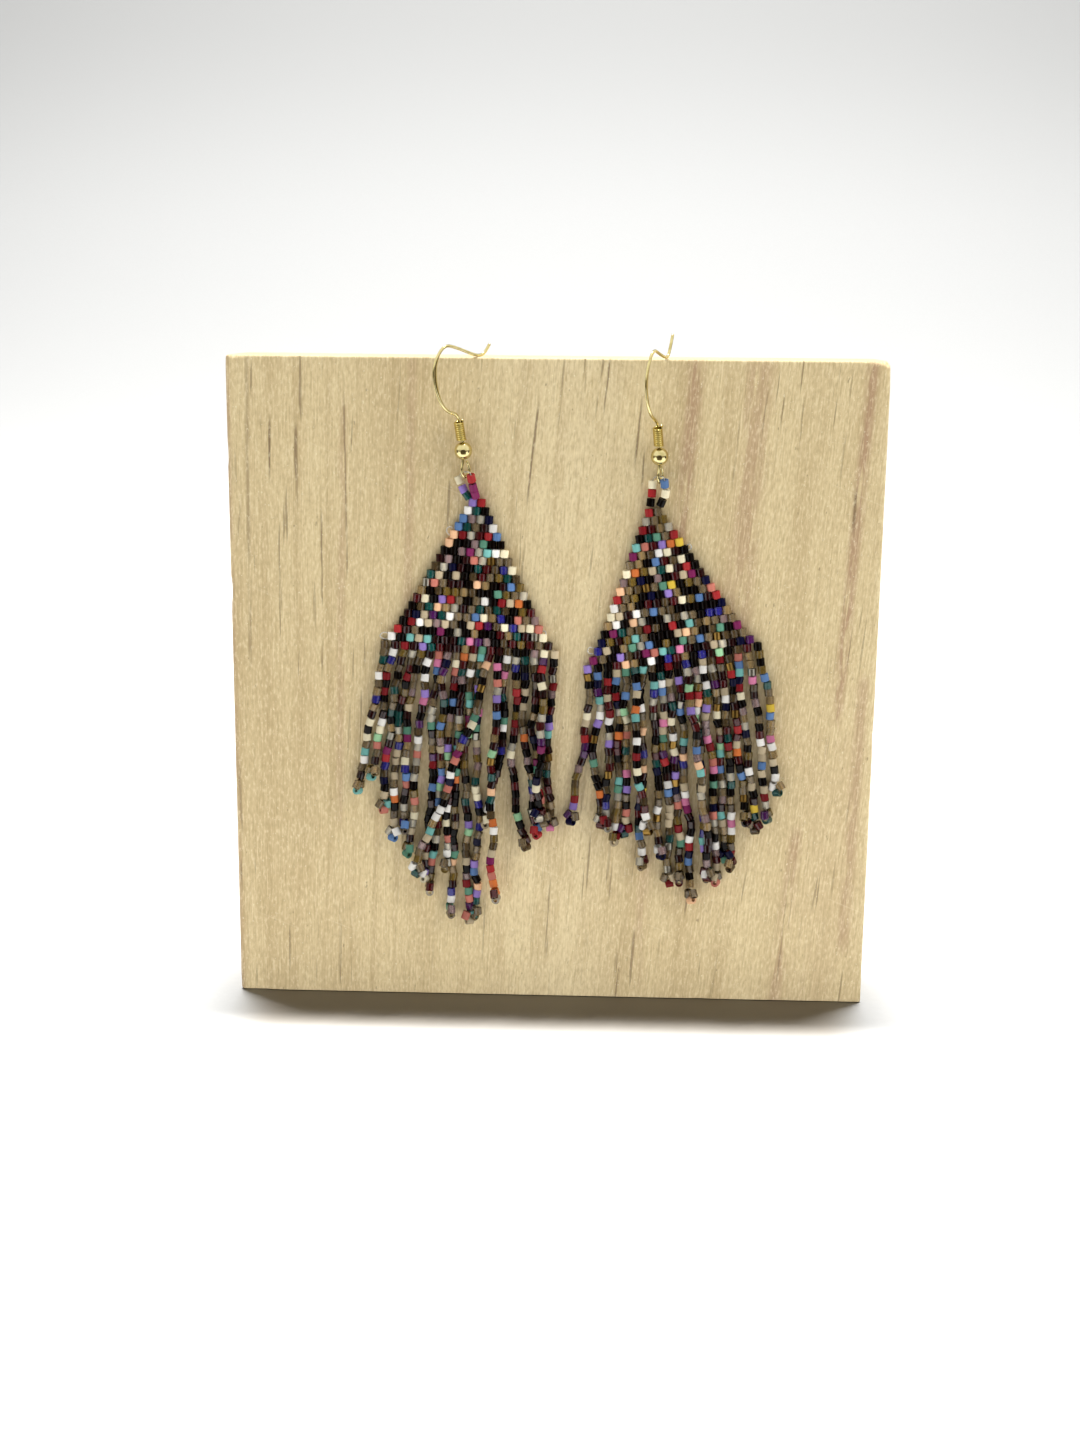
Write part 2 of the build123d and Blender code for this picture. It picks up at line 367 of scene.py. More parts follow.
def hook_place(hook, reach, rise):
    """A point of a hook's upright plane, from the ball's centre, in the frame."""
    centre = Vector((hook["x"], front_y - ball_standoff, block_top - hook["drop"]))
    return centre + Vector((math.cos(hook["turn"]) * reach, math.sin(hook["turn"]) * reach, rise))


def smooth_course(name, runs, resolution=12):
    """A curve object with one smooth spline for each run of chosen points."""
    curve = bpy.data.curves.new(name, "CURVE")
    curve.dimensions = "3D"
    for run in runs:
        spline = curve.splines.new("NURBS")
        spline.points.add(len(run) - 1)
        for point, place in zip(spline.points, run):
            point.co = (*place, 1)
        spline.order_u = 3
        spline.use_endpoint_u = True
        spline.resolution_u = resolution
    return put(name, curve)


def course_points(course):
    """The places along a smooth course, in order. The course is cleared away."""
    graph = bpy.context.evaluated_depsgraph_get()
    line = bpy.data.meshes.new_from_object(course.evaluated_get(graph))
    places = [v.co.copy() for v in line.vertices]
    bpy.data.meshes.remove(line)
    bpy.data.objects.remove(course)
    return places


def formed_wire(name, hook):
    """Sweep the wire's section along its course, flat on the bow and rounded at both ends."""
    course = smooth_course(name, [[hook_place(hook, r * mm, z * mm) for r, z in hook["wire"]]])
    places = course_points(course)
    ball = hook_place(hook, 0, 0)
    outward = Vector((math.cos(hook["turn"]), math.sin(hook["turn"]), 0))
    flat_axis = Vector((outward.y, -outward.x, 0))
    last = len(places) - 1
    verts, faces = [], []
    rings = [
        # place along the wire, share of its radius, how far the ring stands off the end
        (0, 0.05, -0.25), (0, 0.7, 0.0), *[(i, 1.0, 0.0) for i in range(1, last)],
        (last, 0.7, 0.0), (last, 0.05, 0.25),
    ]
    for i, full, beyond in rings:
        ahead = (places[min(i + 1, last)] - places[max(i - 1, 0)]).normalized()
        side = ahead.cross(flat_axis)
        rise = places[i].z - ball.z
        pressed = 0.0
        if (places[i] - ball).dot(outward) < bow_reach and bow_low < rise < bow_high:
            pressed = math.sin(math.pi * (rise - bow_low) / (bow_high - bow_low))
        wide = wire_radius * full * (1 + bow_flatness * pressed)
        thin = wire_radius * full * (1 - bow_thinning * bow_flatness * pressed)
        middle = places[i] + ahead * wire_radius * beyond
        for k in range(wire_sides):
            angle = 2 * math.pi * (k + 0.5) / wire_sides
            face = math.copysign(abs(math.cos(angle)) ** (1 - bow_squareness * pressed), math.cos(angle))
            verts.append(middle + flat_axis * face * thin + side * math.sin(angle) * wide)
    for ring in range(len(rings) - 1):
        for k in range(wire_sides):
            a, b = ring * wire_sides + k, ring * wire_sides + (k + 1) % wire_sides
            faces.append((a, b, b + wire_sides, a + wire_sides))
    faces.append(list(range(wire_sides))[::-1])
    faces.append([(len(rings) - 1) * wire_sides + k for k in range(wire_sides)])
    return new_mesh(name, verts, faces)


def gold_plate(name, clean, dull):
    """Gilt metal, hazed unevenly and finely scored by drawing and handling."""
    global tree
    made, tree, shader = new_material(name, {"Metallic": 1.0})
    haze = speckle(own_spot(), 900.0, 4.0)
    drawn = speckle(own_spot(), 9000.0)
    feed(shader, {
        "Base Color": tint(clean, dull, band(haze, 0.45, 0.75, 0.8)),
        "Roughness": graded(haze, 0.0, 1.0, 0.08, 0.22),
        "Normal": bumped(drawn, 0.12, 0.01 * mm),
    })
    return made


gold = gold_plate("gold_plate", (0.74, 0.645, 0.33, 1), (0.55, 0.46, 0.20, 1))

for side, hook in hooks.items():
    wire = add_piece(formed_wire(f"{side}_hook_wire", hook), gold)
    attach(wire, "root")
    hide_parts(f"{side}_ear_hook")


# Hook balls
# A small hollow brass ball on each stem, seamless and plated like the wire. Its drilled ends are
# a little dished where the hole was punched.
ball_radius = 1.54 * mm
ball_bore = 0.42 * mm
rim_width, rim_dish = 0.08 * mm, 0.05 * mm
ball_sides, ball_steps = 40, 22


def turned(name, outline, sides):
    """Spin a closed outline of (radius, height) points round the upright axis."""
    count = len(outline)
    places, faces = [], []
    for k in range(sides):
        angle = 2 * math.pi * k / sides
        places += [(r * math.cos(angle), r * math.sin(angle), z) for r, z in outline]
        here, there = k * count, (k + 1) % sides * count
        for i in range(count):
            after = (i + 1) % count
            faces.append((here + i, there + i, there + after, here + after))
    return new_mesh(name, places, faces)


def ball_outline():
    """Half the ball's section from the lower rim round to the upper rim, and back up the bore."""
    rim = math.asin((ball_bore + rim_width) / ball_radius)
    arc = [rim + (math.pi - 2 * rim) * i / ball_steps for i in range(ball_steps + 1)]
    outer = [(ball_radius * math.sin(a), -ball_radius * math.cos(a)) for a in arc]
    lip = ball_radius * math.cos(rim) - rim_dish
    return outer + [(ball_bore, lip), (ball_bore, -lip)]


for side, hook in hooks.items():
    mesh = turned(f"{side}_ball", ball_outline(), ball_sides)
    mesh.transform(Matrix.Translation(hook_place(hook, 0, 0)))
    ball = add_piece(mesh, gold)
    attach(ball, "root")
    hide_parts(f"{side}_hook_ball")


# Hook coils
# A close coil of gold wire, wound on a pin, slid over the stem and left resting on the ball.
# It leans with the stem, and its cut end stands off at the top.
coil_turns = 9.0
coil_wire_radius = 0.178 * mm
coil_mean_radius = 0.71 * mm
coil_height = 3.16 * mm
coil_foot = 1.95 * mm
coil_steps, coil_sides = 22, 8
cut_length, cut_rise = 4.5, 0.6
cut_turn = (1.15, 0.0, 0.25)
stem_top = len(eye_and_stem) - 1


def new_tree(name, sockets):
    """An empty geometry tree that takes the named sockets and gives out one geometry."""
    made = bpy.data.node_groups.new(name, "GeometryNodeTree")
    made.interface.new_socket(name="Geometry", in_out="OUTPUT", socket_type="NodeSocketGeometry")
    for label, kind in sockets.items():
        made.interface.new_socket(name=label, in_out="INPUT", socket_type="NodeSocket" + kind)
    return made, made.nodes.new("NodeGroupInput").outputs


def finish_tree(geometry, material=None):
    """Give out the open tree's geometry, made real and in its material where one is named."""
    if material is not None:
        geometry = out_of("GeometryNodeRealizeInstances", {"Geometry": geometry})
        geometry = out_of("GeometryNodeSetMaterial", {"Geometry": geometry, "Material": material})
    node("NodeGroupOutput", {"Geometry": geometry})


def tube(course, radius, sides):
    """A tube along a course, closed at both ends."""
    section = out_of("GeometryNodeCurvePrimitiveCircle", {"Resolution": sides, "Radius": radius})
    return out_of("GeometryNodeCurveToMesh", {
        "Curve": course, "Profile Curve": section, "Fill Caps": True,
    })


def together(*parts):
    """Several geometries as one."""
    whole = node("GeometryNodeJoinGeometry")
    for part in parts:
        tree.links.new(part, whole.inputs[0])
    return whole.outputs[0]


def grown(name, made, values, host=None):
    """Run a geometry tree with its named inputs set, and give back the plain mesh it makes."""
    holder = put(name + "_holder", host or bpy.data.meshes.new(name + "_holder"))
    modifier = holder.modifiers.new(made.name, "NODES")
    modifier.node_group = made
    for item in made.interface.items_tree:
        if item.item_type == "SOCKET" and item.in_out == "INPUT" and item.name in values:
            modifier[item.identifier] = values[item.name]
    bpy.context.view_layer.update()
    graph = bpy.context.evaluated_depsgraph_get()
    mesh = bpy.data.meshes.new_from_object(
        holder.evaluated_get(graph), preserve_all_data_layers=True, depsgraph=graph)
    mesh.name = name
    bpy.data.objects.remove(holder)
    return mesh


coil_gold = gold_plate("coil_gold_plate", (0.66, 0.525, 0.17, 1), (0.46, 0.35, 0.10, 1))

tree, take = new_tree("Close coil", {
    "Turns": "Float", "Mean Radius": "Float", "Height": "Float", "Wire Radius": "Float",
    "Foot": "Vector", "Lean": "Rotation", "Metal": "Material",
})
winding = out_of("GeometryNodeCurveSpiral", {
    "Resolution": coil_steps, "Rotations": take["Turns"], "Start Radius": take["Mean Radius"],
    "End Radius": take["Mean Radius"], "Height": take["Height"],
})
cut_end = out_of("GeometryNodeMeshCylinder", {
    "Vertices": coil_sides, "Radius": take["Wire Radius"],
    "Depth": product(take["Wire Radius"], cut_length),
})
cut_height = figure("ADD", take["Height"], product(take["Wire Radius"], cut_rise))
cut_end = out_of("GeometryNodeTransform", {
    "Geometry": cut_end, "Translation": vector(take["Mean Radius"], 0.0, cut_height),
    "Rotation": cut_turn,
})
coil = out_of("GeometryNodeTransform", {
    "Geometry": together(cut_end, tube(winding, take["Wire Radius"], coil_sides)),
    "Translation": take["Foot"], "Rotation": take["Lean"],
})
finish_tree(coil, take["Metal"])

for side, hook in hooks.items():
    foot, head = [hook_place(hook, r * mm, z * mm) for r, z in hook["wire"][stem_top:stem_top + 2]]
    axis = (head - foot).normalized()
    coil = add_piece(grown(f"{side}_coil", tree, {
        "Turns": coil_turns, "Mean Radius": coil_mean_radius, "Height": coil_height,
        "Wire Radius": coil_wire_radius, "Foot": hook_place(hook, 0, 0) + axis * coil_foot,
        "Lean": Vector((0, 0, 1)).rotation_difference(axis).to_euler(), "Metal": coil_gold,
    }))
    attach(coil, "root")
    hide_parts(f"{side}_hook_coil")


# Seed beads
# Cut glass cylinder beads in mixed colours, picked at random from a stash: dense opaque ones,
# clear and smoky ones that show their bright or dark bore, and a few with a metal skin.
bead_radius = 0.74 * mm
bead_half = 0.705 * mm
bead_bore = 0.36 * mm
rim_radius, rim_height, side_height = 0.67 * mm, 0.67 * mm, 0.63 * mm
bead_sides = 12
bead_crisp = 35
girth_spread, length_spread, brightness_spread = (0.985, 1.01), (0.96, 1.02), (0.82, 1.12)
dense, clear, metal = 0.0, 0.5, 1.0
greyness = 0.07


def tone(red, green, blue):
    """A colour as seen on a screen, 0 to 255, greyed a little and turned into light."""
    grey = (red + green + blue) / 3
    return tuple((((1 - greyness) * part + greyness * grey) / 255) ** 2.2 for part in (red, green, blue))


shades = [
    # name, how many in a hundred, colour, kind of glass
    ("black", 18, (15, 8, 5), dense),
    ("black cherry", 8, (54, 14, 18), clear),
    ("maroon", 6, (98, 20, 26), clear),
    ("brown smoke", 8, (104, 84, 54), clear),
    ("smoke", 7, (146, 126, 94), clear),
    ("taupe", 7, (176, 148, 100), clear),
    ("olive gold", 4, (148, 120, 54), clear),
    ("water", 4.4, (214, 206, 186), clear),
    ("white", 4.5, (238, 234, 226), dense),
    ("ivory", 3, (232, 220, 184), dense),
    ("peach", 2, (236, 184, 140), dense),
    ("stone", 4.5, (184, 166, 134), dense),
    ("red", 2.0, (164, 44, 46), dense),
    ("brick", 2.8, (122, 28, 32), dense),
    ("salmon", 2, (196, 114, 98), dense),
    ("orange", 0.8, (212, 112, 56), dense),
    ("yellow", 0.6, (226, 190, 66), dense),
    ("aqua", 3.2, (112, 178, 170), dense),
    ("sea green", 1.6, (88, 138, 114), dense),
    ("mint", 1, (150, 200, 150), dense),
    ("bottle", 3.4, (24, 96, 90), clear),
    ("cornflower", 2.2, (88, 122, 172), dense),
    ("cobalt", 1.8, (58, 54, 166), clear),
    ("navy", 3, (18, 18, 48), dense),
    ("lavender", 2.2, (142, 116, 190), dense),
    ("magenta", 1, (122, 38, 84), dense),
    ("aubergine", 2.0, (100, 36, 112), clear),
    ("pink", 1, (212, 118, 156), dense),
    ("mauve", 3, (172, 144, 142), clear),
    ("bronze", 1.2, (156, 122, 62), metal),
    ("pewter", 1, (156, 152, 140), metal),
]
shade_total = sum(share for _, share, _, _ in shades)
shade_place, colour_steps, kind_steps, reached = {}, [], [], 0
for name, share, colour, kind in shades:
    shade_place[name] = (reached + share / 2) / shade_total
    colour_steps.append((reached / shade_total, (*tone(*colour), 1)))
    kind_steps.append((reached / shade_total, (kind, kind, kind, 1)))
    reached += share


def picked_from(pick, marks):
    """The colour of the step that pick falls on, from (place, colour) pairs that start at 0."""
    line = node("ShaderNodeValToRGB", {0: pick})
    steps = line.color_ramp
    steps.interpolation = "CONSTANT"
    while len(steps.elements) > 1:
        steps.elements.remove(steps.elements[-1])
    steps.elements[0].color = marks[0][1]
    for place, colour in marks[1:]:
        steps.elements.new(place).color = colour
    return line.outputs[0]


bead_outline = [
    (bead_bore, -rim_height), (rim_radius, -bead_half), (bead_radius, -side_height),
    (bead_radius, side_height), (rim_radius, bead_half), (bead_bore, rim_height),
]
bead_mesh = turned("seed_bead", bead_outline, bead_sides)
bead_mesh.shade_smooth()
bore_mark = bead_mesh.attributes.new("bore", "FLOAT", "FACE")
for face in bead_mesh.polygons:
    if face.index % len(bead_outline) == len(bead_outline) - 1:
        bore_mark.data[face.index].value = 1.0
seed_bead = put("seed_bead", bead_mesh)

tree = skin = bpy.data.node_groups.new("Pressed glass skin", "ShaderNodeTree")
skin.interface.new_socket(name="Ripple", in_out="INPUT", socket_type="NodeSocketFloat")
skin.interface.new_socket(name="Colour", in_out="OUTPUT", socket_type="NodeSocketColor")
skin.interface.new_socket(name="Normal", in_out="OUTPUT", socket_type="NodeSocketVector")
ripple = node("NodeGroupInput").outputs["Ripple"]
node("NodeGroupOutput", {
    "Colour": node("ShaderNodeAttribute", attribute_name="bead_colour").outputs["Color"],
    "Normal": bumped(speckle(own_spot(), 1400.0), ripple, 0.08 * mm),
})


def bead_glass(name, ripple, plain):
    """One kind of bead glass, with each bead's own colour."""
    global tree
    made, tree, shader = new_material(name, plain)
    surface = node("ShaderNodeGroup", {"Ripple": ripple}, node_tree=skin).outputs
    feed(shader, {"Base Color": surface["Colour"], "Normal": surface["Normal"]})
    return made


dense_glass = bead_glass("dense_bead_glass", 0.25, {"Roughness": 0.22, "Specular IOR Level": 0.14})
clear_glass = bead_glass("clear_bead_glass", 0.20, {
    "Roughness": 0.06, "Specular IOR Level": 0.50, "Transmission Weight": 0.60,
})
metal_skin = bead_glass("metal_skinned_bead", 0.30, {"Roughness": 0.28, "Metallic": 1.0})
bore_lining, tree, shader = new_material("lined_bore", {"Metallic": 1.0, "Roughness": 0.25})
silvering = node("ShaderNodeAttribute", attribute_name="bead_colour").outputs["Color"]
feed(shader, {"Base Color": tint(silvering, (0.80, 0.78, 0.72, 1), 0.35)})


def chance(seed, shift, low=0.0, high=1.0):
    """A random number for each point or bead."""
    return node("FunctionNodeRandomValue", {
        2: low, 3: high, "Seed": figure("ADD", seed, float(shift)),
    }, data_type="FLOAT").outputs[1]


def rotation(x=0.0, y=0.0, z=0.0):
    """A turn about the three axes."""
    return out_of("FunctionNodeEulerToRotation", {0: vector(x, y, z)})


def turned_on(turn, further):
    """A turn with a further one in its own axes."""
    return out_of("FunctionNodeRotateRotation", {0: turn, 1: further}, rotation_space="LOCAL")


def store(geometry, name, value, kind, domain="POINT"):
    """Write a value on each point or bead under a name."""
    return out_of("GeometryNodeStoreNamedAttribute", {
        "Geometry": geometry, "Name": name, "Value": value,
    }, data_type=kind, domain=domain)


def upright(way):
    """The turn that points a bead's bore along a direction."""
    return out_of("FunctionNodeAlignRotationToVector", {"Vector": way}, axis="Z")


def stored(name, kind="FLOAT"):
    """Read back the value written under a name."""
    return out_of("GeometryNodeInputNamedAttribute", {"Name": name}, data_type=kind)


def shape_of(thing):
    """The geometry of an object handed to the open tree."""
    return node("GeometryNodeObjectInfo", {"Object": thing}).outputs["Geometry"]


# Every way of stringing the beads ends in this one tree, which sets a bead on each point.
# Depth scales the colour of every bead a tree sets: it paints the same beads brighter in the weave and
# darker, as painted shade, in the fringe.
bead_inputs = {
    "Bead": "Object", "Looseness": "Float", "Depth": "Float", "Seed": "Int",
    "Dense": "Material", "Clear": "Material", "Lining": "Material", "Metal": "Material",
}
tree, take = new_tree("Set seed beads", {
    "Points": "Geometry", "Selection": "Bool", "Turn": "Rotation", **bead_inputs,
})
bead_tree = tree
sway = [product(chance(take["Seed"], shift, -1, 1), take["Looseness"]) for shift in (1, 2)]
loose = rotation(sway[0], sway[1], chance(take["Seed"], 3, 0, math.tau))
girth = chance(take["Seed"], 4, *girth_spread)
beads = out_of("GeometryNodeInstanceOnPoints", {
    "Points": take["Points"], "Selection": take["Selection"], "Instance": shape_of(take["Bead"]),
    "Rotation": turned_on(take["Turn"], loose),
    "Scale": vector(girth, girth, chance(take["Seed"], 5, *length_spread)),
})
chosen = stored("chosen_shade")
pick = out_of("ShaderNodeMix", {
    0: figure("GREATER_THAN", chosen, 0.0001), 2: chance(take["Seed"], 6), 3: chosen,
}, data_type="FLOAT")
# Painted light and shade: each bead's colour is scaled by a random brightness and by the Depth of its piece.
depth = product(chance(take["Seed"], 7, *brightness_spread), take["Depth"])
bead_colour = out_of("ShaderNodeVectorMath", {
    0: picked_from(pick, colour_steps), "Scale": depth,
}, operation="SCALE")
beads = store(beads, "bead_colour", bead_colour, "FLOAT_COLOR", "INSTANCE")
beads = store(beads, "bead_kind", picked_from(pick, kind_steps), "FLOAT", "INSTANCE")
beads = out_of("GeometryNodeRealizeInstances", {"Geometry": beads})
is_clear = figure("COMPARE", stored("bead_kind"), clear, 0.1)
is_metal = figure("GREATER_THAN", stored("bead_kind"), 0.9)
is_lined = product(is_clear, stored("bore"))
for which, stuff in ((True, "Dense"), (is_clear, "Clear"), (is_lined, "Lining"), (is_metal, "Metal")):
    beads = out_of("GeometryNodeSetMaterial", {
        "Geometry": beads, "Selection": which, "Material": take[stuff],
    })
finish_tree(beads)

bead_values = {
    "Bead": seed_bead, "Dense": dense_glass, "Clear": clear_glass, "Lining": bore_lining,
    "Metal": metal_skin,
}


def set_beads(take, points, turn, selection=True):
    """Place the shared bead tree inside another tree."""
    return out_of("GeometryNodeGroup", {
        **{label: take[label] for label in bead_inputs},
        "Points": points, "Turn": turn, "Selection": selection,
    }, node_tree=bead_tree)


# Woven triangles
# Brick stitch worked from the wide base row up: each row sits half a bead over and is one bead
# shorter, with the beads upright and side by side. The top five rows and the loop are set one by one.
base_beads = 20
woven_rows = 14
column_pitch = 1.50 * mm
row_pitch = 1.44 * mm
bead_depth = 0.83 * mm
base_flare, flare_power, flare_rows = 0.85 * mm, 5.0, 2.5
row_sink, row_shift = (-0.10 * mm, 0.02 * mm), (-0.05 * mm, 0.05 * mm)

earrings = {
    "left": {"shift": 1.09 * mm, "below": 34.83 * mm, "tilt": math.radians(-2.8), "seed": 11},
    "right": {"shift": 3.10 * mm, "below": 35.28 * mm, "tilt": math.radians(8.7), "seed": 47},
}
earrings["left"]["crown"] = [
    # rows from the top one down
    ["lavender", "red"], ["white", "bottle", "black"], ["cornflower", "mauve", "water", "navy"],
    ["cornflower", "bottle", "smoke", "black cherry", "white"],
    ["peach", "brick", "water", "maroon", "red", "cornflower"],
]
earrings["right"]["crown"] = [
    ["red", "smoke"], ["water", "smoke", "olive gold"], ["brick", "maroon", "taupe", "water"],
    ["black", "bottle", "sea green", "smoke", "red"],
    ["aqua", "salmon", "maroon", "lavender", "orange", "yellow"],
]
earrings["left"]["loop"] = [
    # shade, sideways and up from the ball, depth in front of the face
    [("ivory", -0.76, -5.03, 0.80), ("lavender", -0.06, -6.63, 0.82), ("bottle", 0.64, -7.73, 0.84)],
    [("red", 1.44, -4.63, 2.30), ("magenta", 1.74, -6.23, 1.85), ("magenta", 2.04, -7.50, 1.35)],
]
earrings["right"]["loop"] = [
    [("ivory", -1.10, -4.88, 0.80), ("red", -1.15, -6.38, 0.82), ("black", -1.35, -7.98, 0.83)],
    [("cornflower", 0.95, -4.58, 2.30), ("ivory", 1.15, -6.28, 1.90), ("black", 0.52, -7.90, 1.40)],
]


def woven_place(side, across, up, flare=base_flare):
    """A point of a woven triangle, from the middle of its base row, whose ends sag outward."""
    half_row = (base_beads - 1) / 2 * column_pitch
    sag = (abs(across) / half_row) ** flare_power * max(0.0, 1 - up / (flare_rows * row_pitch))
    across += math.copysign(flare * sag, across)
    own, hook = earrings[side], hooks[side]
    middle_z = block_top - hook["drop"] - own["below"]
    middle = Vector((hook["x"] + own["shift"], front_y - bead_depth, middle_z))
    along = Vector((math.cos(own["tilt"]), 0, math.sin(own["tilt"])))
    return middle + along * across + Vector((-along.z, 0, along.x)) * up


def ball_place(side, x, z, depth):
    """A point beside a hook's ball, all in mm, at a depth in front of the block's face."""
    hook = hooks[side]
    return Vector((hook["x"] + x * mm, front_y - depth * mm, block_top - hook["drop"] + z * mm))


tree, take = new_tree("Brick stitch", {
    "Base Beads": "Int", "Rows": "Int", "Column Pitch": "Float", "Row Pitch": "Float",
    "Middle": "Vector", "Tilt": "Float", "Flare": "Float", **bead_inputs,
})
wide = product(figure("SUBTRACT", take["Base Beads"], 1.0), take["Column Pitch"])
tall = product(figure("SUBTRACT", take["Rows"], 1.0), take["Row Pitch"])
grid = out_of("GeometryNodeMeshGrid", {
    "Size X": wide, "Size Y": tall, "Vertices X": take["Base Beads"], "Vertices Y": take["Rows"],
})
here = split(out_of("GeometryNodeInputPosition"))
column, row = [
    figure("ROUND", figure("DIVIDE", figure("ADD", here[axis], product(size, 0.5)), pitch))
    for axis, size, pitch in ((0, wide, take["Column Pitch"]), (1, tall, take["Row Pitch"]))
]
spare = figure("GREATER_THAN", figure("ADD", column, row), figure("SUBTRACT", take["Base Beads"], 0.5))
stepped = product(figure("ADD", product(row, 0.5), column), take["Column Pitch"])
place = vector(stepped, product(row, take["Row Pitch"]), spare)
points = store(grid, "weave_place", place, "FLOAT_VECTOR")
kept = split(stored("weave_place", "FLOAT_VECTOR"))
points = out_of("GeometryNodeDeleteGeometry", {
    "Geometry": points, "Selection": kept[2],
}, domain="POINT")
from_middle = figure("SUBTRACT", kept[0], product(wide, 0.5))
outward = figure("DIVIDE", from_middle, product(wide, 0.5))
rows_up = figure("DIVIDE", kept[1], product(take["Row Pitch"], flare_rows))
sag = product(
    figure("POWER", figure("ABSOLUTE", outward), flare_power), figure("SIGN", outward),
    figure("MAXIMUM", 0.0, figure("SUBTRACT", 1.0, rows_up)))
flat = vector(
    figure("MULTIPLY_ADD", sag, take["Flare"], from_middle),
    chance(take["Seed"], 22, *row_sink),
    figure("ADD", kept[1], chance(take["Seed"], 21, *row_shift)))
tilted = product(take["Tilt"], -1.0)
placed = out_of("ShaderNodeVectorMath", {
    0: out_of("ShaderNodeVectorRotate", {"Vector": flat, "Angle": tilted}, rotation_type="Y_AXIS"),
    1: take["Middle"],
}, operation="ADD")
points = out_of("GeometryNodeSetPosition", {"Geometry": points, "Position": placed})
finish_tree(set_beads(take, points, rotation(y=tilted)))
stitch_tree = tree

tree, take = new_tree("Beads set one by one", {"Points": "Geometry", **bead_inputs})
lay = out_of("FunctionNodeEulerToRotation", {0: stored("bead_turn", "FLOAT_VECTOR")})
finish_tree(set_beads(take, take["Points"], lay))
single_tree = tree


def single_points(side):
    """Points for the top rows and the loop, each with its chosen shade and its turn."""
    own = earrings[side]
    beads = []
    for step, names in enumerate(own["crown"]):
        up = (base_beads - 2 - step) * row_pitch
        for place, name in enumerate(names):
            across = (place - (len(names) - 1) / 2) * column_pitch
            beads.append((woven_place(side, across, up), name, (0, -own["tilt"], 0)))
    for string in own["loop"]:
        centres = [ball_place(side, x, z, depth) for _, x, z, depth in string]
        for i, (name, *_) in enumerate(string):
            along = centres[max(i - 1, 0)] - centres[min(i + 1, len(centres) - 1)]
            beads.append((centres[i], name, tuple(along.to_track_quat("Z", "Y").to_euler())))
    mesh = new_mesh(f"{side}_single_points", [place for place, _, _ in beads], [])
    shade = mesh.attributes.new("chosen_shade", "FLOAT", "POINT")
    turn = mesh.attributes.new("bead_turn", "FLOAT_VECTOR", "POINT")
    for i, (_, name, euler) in enumerate(beads):
        shade.data[i].value = shade_place[name]
        turn.data[i].vector = euler
    return mesh


for side, own in earrings.items():
    shared = {**bead_values, "Seed": own["seed"]}
    weave = add_piece(grown(f"{side}_woven_triangle", stitch_tree, {
        "Base Beads": base_beads, "Rows": woven_rows, "Column Pitch": column_pitch,
        "Row Pitch": row_pitch, "Middle": woven_place(side, 0, 0), "Tilt": own["tilt"],
        # Depth 1.16 paints the woven beads brighter than the same beads elsewhere.
        "Looseness": 0.09, "Depth": 1.16, "Flare": base_flare, **shared,
    }), crisp=bead_crisp)
    crown = add_piece(grown(f"{side}_crown_and_loop", single_tree, {
        "Looseness": 0.04, "Depth": 1.0, **shared,
    }, single_points(side)), crisp=bead_crisp)
    for piece in (weave, crown):
        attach(piece, "root")
    own["weave"] = weave


# Fringe strands
# Twenty strings of the same beads hang from each base row, every one ending in a picot: two beads
# side by side and one across below them, with the thread going back up the string.
strand_pitch = 1.38 * mm
picot_height, picot_spread = 2.90 * mm, 0.76 * mm
picot_side_drop, picot_foot_drop = 1.62 * mm, 2.78 * mm
picot_splay, picot_wall_room = 0.40, 0.78 * mm
picot_spins, picot_shades = (-1.5, 1.5), (0.22, 1.0)
layer_step = 1.52 * mm
high_share, low_share = 0.30, 0.65
wander_reach, wander_marks, settle_length = 2.8 * mm, 155.0, 6 * mm

earrings["left"]["strands"] = [
    # drop, high, low, tip, layer
    (26.8, -1.9, -4.2, -5.5, 0), (24.0, -2.3, -3.6, -4.8, 0), (30.3, -2.4, -3.5, -4.4, 0),
    (35.2, -2.4, -3.7, -4.4, 0), (33.7, -2.3, -3.4, -3.6, 0), (38.0, -2.3, -2.6, -3.6, 0),
    (42.6, -1.7, -1.3, -3.5, 0), (45.0, -1.6, -1.2, -3.4, 0), (40.5, -1.5, -1.7, -1.6, 0),
    (49.1, -1.5, -1.7, -2.3, 0), (50.2, -1.4, -1.6, -0.5, 0), (49.3, -1.3, -0.6, -0.7, 0),
    (40.7, -2.9, -8.4, -13.6, 1), (45.2, -1.1, -0.5, -1.1, 1), (31.6, -0.5, -0.9, -4.1, 0),
    (35.7, -0.2, -0.5, 1.6, 0), (33.4, -0.1, 0.5, 2.3, 0), (31.0, 0.3, 0.6, 2.0, 0),
    (29.8, -0.2, 0.1, -0.2, 1), (31.8, -0.1, -0.5, 0.3, 0),
]
earrings["right"]["strands"] = [
    (28.1, -0.6, -1.9, -3.1, 0), (28.8, -0.5, -0.7, 0.1, 0), (29.5, 0.0, 0.3, 0.2, 0),
    (32.4, 0.1, 0.5, 0.3, 0), (31.3, 0.2, 0.6, 0.4, 0), (30.4, 0.2, 1.2, 2.7, 1),
    (37.5, 0.4, -0.1, 0.6, 0), (35.7, 0.7, 1.6, 2.6, 0), (41.2, 1.0, 2.2, 2.9, 0),
    (40.9, 1.1, 2.3, 3.1, 0), (44.4, 1.5, 3.2, 3.5, 0), (40.3, 1.6, 3.8, 4.9, 1),
    (40.9, 1.6, 2.2, 3.0, 0), (41.9, 1.7, 2.9, 3.4, 0), (38.0, 1.7, 2.9, 3.6, 0),
    (39.7, 1.7, 3.0, 3.7, 0), (31.1, 1.5, 2.8, 3.9, 0), (33.1, 1.6, 3.1, 4.4, 0),
    (31.2, 2.4, 3.7, 5.1, 0), (26.4, 3.0, 4.3, 5.2, 0),
]


